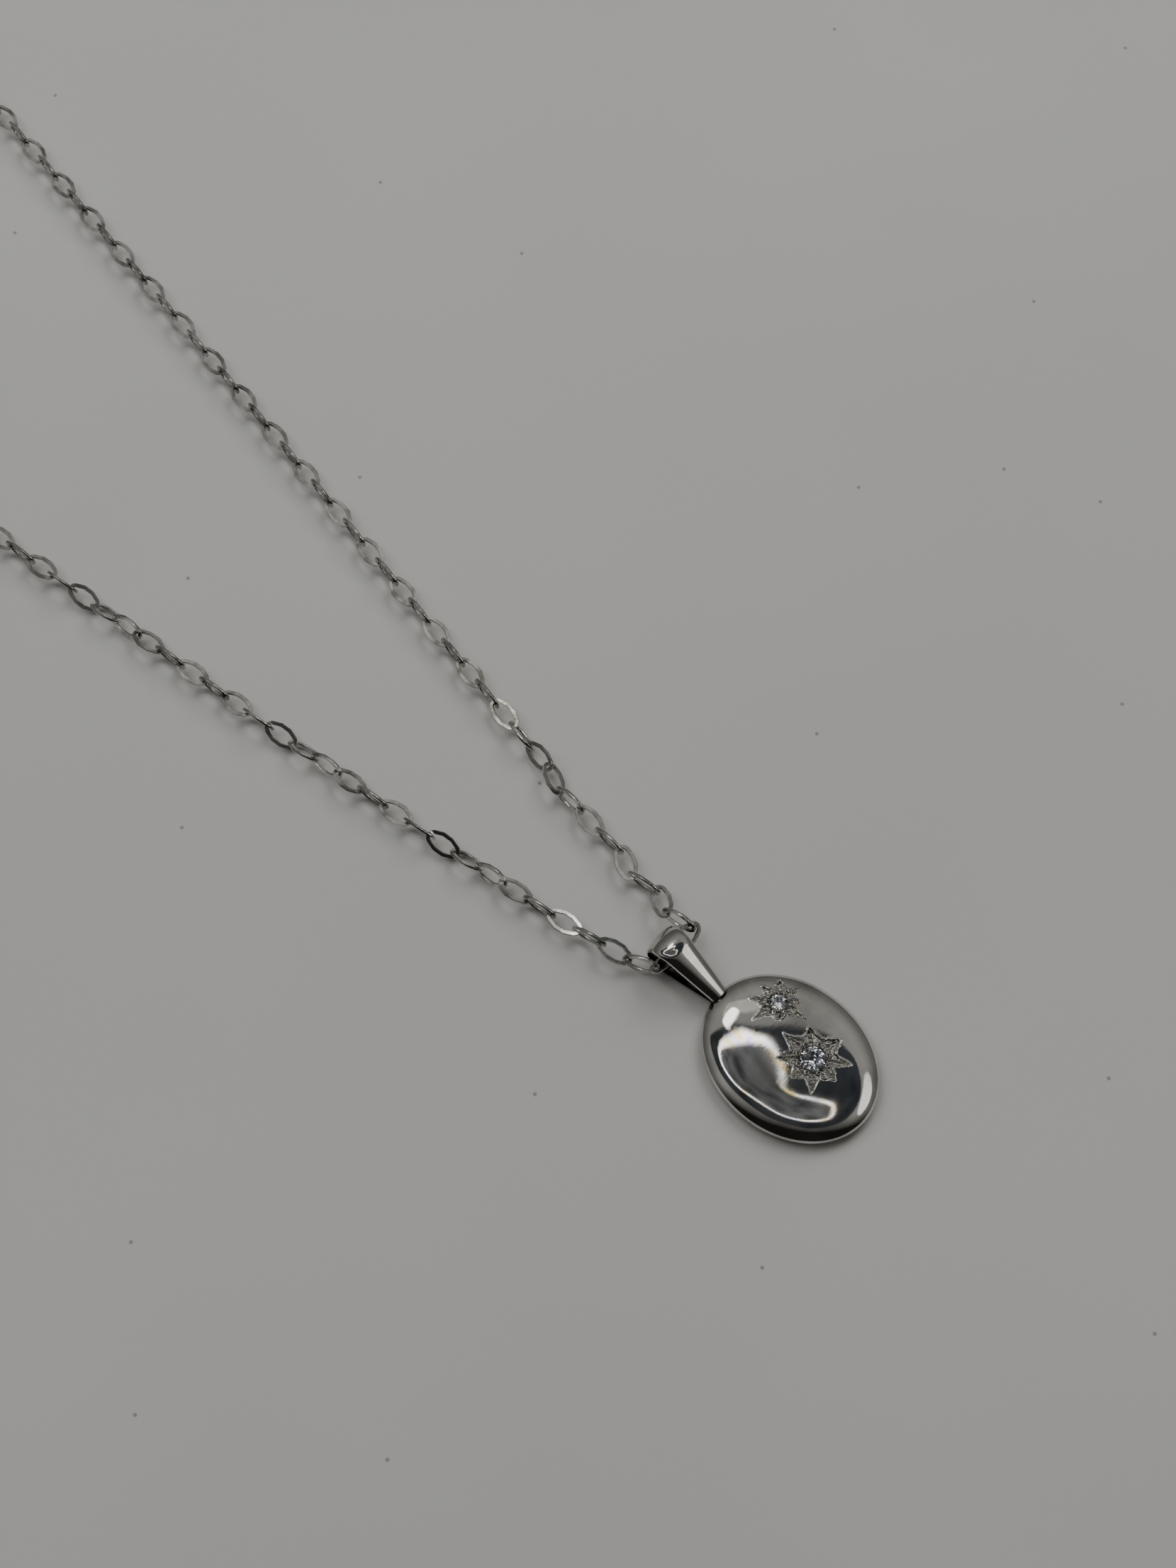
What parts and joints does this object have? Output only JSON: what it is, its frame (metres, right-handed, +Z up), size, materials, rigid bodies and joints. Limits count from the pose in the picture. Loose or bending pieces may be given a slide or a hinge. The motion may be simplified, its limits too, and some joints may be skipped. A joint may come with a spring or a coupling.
{
  "type": "pendant necklace",
  "caption": "Oval domed silver pendant with two stones set in engraved stars, on a tapered bail and a cable chain with spring ring clasp.",
  "frame": {"origin": "centre of the disc's flat back, on the table", "axes": "+Z up out of the domed front, +Y from the disc towards the bail, +X across the disc"},
  "size_m": [0.052, 0.1192, 0.0032],
  "materials": {
    "pendant_silver": "mirror-polished silver with hand-engraved stars",
    "bail_silver": "mirror-polished silver",
    "chain_silver": "bright silver, flattened wire",
    "clasp_silver": "bright silver",
    "spring_steel": "plain spring wire",
    "stone": "clear round brilliant cut"
  },
  "bodies": {
    "pendant": {"pendant_disc": "pendant_silver", "large_star_stone": "stone", "small_star_stone": "stone", "bail": "bail_silver"},
    "bail_links": {"centre_link_left": "chain_silver", "centre_link_right": "chain_silver"},
    "left_link_1": {"left_link_1": "chain_silver"},
    "left_link_2": {"left_link_2": "chain_silver"},
    "left_link_3": {"left_link_3": "chain_silver"},
    "left_link_4": {"left_link_4": "chain_silver"},
    "left_link_5": {"left_link_5": "chain_silver"},
    "left_run_1": {"left_run_1": "chain_silver"},
    "left_run_2": {"left_run_2": "chain_silver"},
    "left_coil": {"left_coil_outer": "chain_silver", "left_coil_inner": "chain_silver"},
    "left_jump_ring": {"left_jump_ring": "chain_silver"},
    "right_link_1": {"right_link_1": "chain_silver"},
    "right_link_2": {"right_link_2": "chain_silver"},
    "right_link_3": {"right_link_3": "chain_silver"},
    "right_link_4": {"right_link_4": "chain_silver"},
    "right_link_5": {"right_link_5": "chain_silver"},
    "right_run_1": {"right_run_1": "chain_silver"},
    "right_run_2": {"right_run_2": "chain_silver"},
    "right_run_3": {"right_run_3": "chain_silver"},
    "right_coil": {"right_coil_outer": "chain_silver", "right_coil_inner": "chain_silver"},
    "right_jump_ring": {"right_jump_ring": "chain_silver"},
    "clasp": {"clasp_body": "clasp_silver", "clasp_end_loop": "clasp_silver", "clasp_spring": "spring_steel"},
    "clasp_bolt": {"clasp_bolt": "clasp_silver"},
    "tag": {"chain_tag": "clasp_silver"}
  },
  "joints": [
    {"name": "pendant_swing", "type": "hinge", "parent": "pendant", "child": "bail_links", "pos_m": [0.00038, 0.01035, 0.00138], "axis": [1, 0, 0], "range_deg": [0, 165]},
    {"name": "left_link_1_yaw", "type": "hinge", "parent": "bail_links", "child": "left_link_1", "pos_m": [-0.0014, 0.01035, 0.00138], "axis": [0, 0.6157, 0.788], "range_deg": [0, 50]},
    {"name": "left_link_2_lift", "type": "hinge", "parent": "left_link_1", "child": "left_link_2", "pos_m": [-0.00218, 0.01207, 0.00089], "axis": [0.8874, 0.3143, -0.3372], "range_deg": [0, 50]},
    {"name": "left_link_3_yaw", "type": "hinge", "parent": "left_link_2", "child": "left_link_3", "pos_m": [-0.00256, 0.014, 0.00114], "axis": [0.0207, -0.1173, 0.9929], "range_deg": [0, 50]},
    {"name": "left_link_4_lift", "type": "hinge", "parent": "left_link_3", "child": "left_link_4", "pos_m": [-0.00294, 0.01592, 0.0009], "axis": [0.9816, 0.1908, 0], "range_deg": [0, 50]},
    {"name": "left_link_5_yaw", "type": "hinge", "parent": "left_link_4", "child": "left_link_5", "pos_m": [-0.00326, 0.01787, 0.00082], "axis": [-0.0063, 0.0396, 0.9992], "range_deg": [0, 50]},
    {"name": "left_run_1_lift", "type": "hinge", "parent": "left_link_5", "child": "left_run_1", "pos_m": [-0.00355, 0.01983, 0.00082], "axis": [0.989, 0.1478, 0], "range_deg": [0, 50]},
    {"name": "left_run_2_yaw", "type": "hinge", "parent": "left_run_1", "child": "left_run_2", "pos_m": [-0.00724, 0.04931, 0.00083], "axis": [0.0005, -0.0049, 1], "range_deg": [0, 50]},
    {"name": "left_coil_lift", "type": "hinge", "parent": "left_run_2", "child": "left_coil", "pos_m": [-0.00979, 0.07295, 0.00083], "axis": [0.9945, 0.1045, 0], "range_deg": [0, 50]},
    {"name": "left_jump_ring_swing", "type": "hinge", "parent": "left_coil", "child": "left_jump_ring", "pos_m": [-0.02169, 0.07604, 0.00083], "axis": [0, 0, 1], "range_deg": [-25, 25]},
    {"name": "right_link_1_yaw", "type": "hinge", "parent": "bail_links", "child": "right_link_1", "pos_m": [0.00215, 0.01035, 0.00138], "axis": [0, 0.5446, -0.8387], "range_deg": [0, 50]},
    {"name": "right_link_2_lift", "type": "hinge", "parent": "right_link_1", "child": "right_link_2", "pos_m": [0.00186, 0.01222, 0.00134], "axis": [0.9624, 0.0923, -0.2553], "range_deg": [0, 50]},
    {"name": "right_link_3_yaw", "type": "hinge", "parent": "right_link_2", "child": "right_link_3", "pos_m": [0.0027, 0.01386, 0.00088], "axis": [-0.1552, -0.2136, -0.9645], "range_deg": [0, 50]},
    {"name": "right_link_4_lift", "type": "hinge", "parent": "right_link_3", "child": "right_link_4", "pos_m": [0.00241, 0.01581, 0.00085], "axis": [0.9903, 0.1392, 0], "range_deg": [0, 50]},
    {"name": "right_link_5_yaw", "type": "hinge", "parent": "right_link_4", "child": "right_link_5", "pos_m": [0.00313, 0.01758, 0.00085], "axis": [-0.0002, -0.0004, -1], "range_deg": [0, 50]},
    {"name": "right_run_1_lift", "type": "hinge", "parent": "right_link_5", "child": "right_run_1", "pos_m": [0.0032, 0.01956, 0.00082], "axis": [0.9994, -0.0349, 0], "range_deg": [0, 50]},
    {"name": "right_run_2_yaw", "type": "hinge", "parent": "right_run_1", "child": "right_run_2", "pos_m": [0.00805, 0.04679, 0.00083], "axis": [0, 0, -1], "range_deg": [0, 50]},
    {"name": "right_run_3_lift", "type": "hinge", "parent": "right_run_2", "child": "right_run_3", "pos_m": [0.01303, 0.07613, 0.00083], "axis": [0.9877, -0.1564, 0], "range_deg": [0, 50]},
    {"name": "right_coil_lift", "type": "hinge", "parent": "right_run_3", "child": "right_coil", "pos_m": [0.01676, 0.09964, 0.00083], "axis": [0.9877, -0.1564, 0], "range_deg": [0, 50]},
    {"name": "right_jump_ring_swing", "type": "hinge", "parent": "right_coil", "child": "right_jump_ring", "pos_m": [0.00741, 0.09677, 0.00083], "axis": [0, 0, 1], "range_deg": [-25, 25]},
    {"name": "clasp_swing", "type": "hinge", "parent": "left_jump_ring", "child": "clasp", "pos_m": [-0.02231, 0.07438, 0.00092], "axis": [-0.1083, -0.2894, 0.9511], "range_deg": [-25, 25]},
    {"name": "bolt_slide", "type": "hinge", "parent": "clasp", "child": "clasp_bolt", "pos_m": [-0.02359, 0.07095, 0.00073], "axis": [-0.0183, -0.049, 0.9986], "range_deg": [-46, 0], "stiffness_Nm_per_rad": 0.005, "springref_deg": 17.19, "deforming": ["clasp_spring"]},
    {"name": "tag_swing", "type": "hinge", "parent": "right_jump_ring", "child": "tag", "pos_m": [0.00699, 0.09849, 0.00092], "axis": [-0.0728, 0.3003, 0.9511], "range_deg": [-25, 25]}
  ]
}
